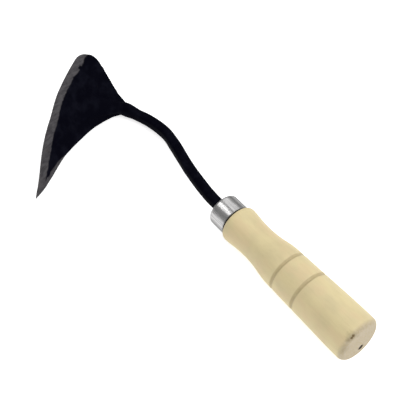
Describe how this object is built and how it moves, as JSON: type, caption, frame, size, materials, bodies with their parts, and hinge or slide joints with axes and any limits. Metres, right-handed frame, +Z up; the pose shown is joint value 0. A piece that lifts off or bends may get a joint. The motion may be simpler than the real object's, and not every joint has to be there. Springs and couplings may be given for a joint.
{
  "type": "hand hoe",
  "caption": "Forged hand hoe of the sickle kind: dished pointed blade on a bowed neck, steel ferrule, turned wooden handle with the tang clinched at the butt.",
  "frame": {"origin": "middle of the handle's butt face, on the handle's axis", "axes": "+X out of the butt along the handle's axis, so the blade is towards -X; +Z up with the tool lying on its side, its tip towards -Y"},
  "size_m": [0.324, 0.1257, 0.0562],
  "materials": {
    "forged_head": "black forge scale on forged steel, with a ground grey bevel",
    "ferrule": "brushed round its girth",
    "handle": "smooth, pale, thinly varnished"
  },
  "bodies": {
    "root": {"forged_head": "forged_head", "ferrule": "ferrule", "handle": "handle"}
  },
  "joints": []
}
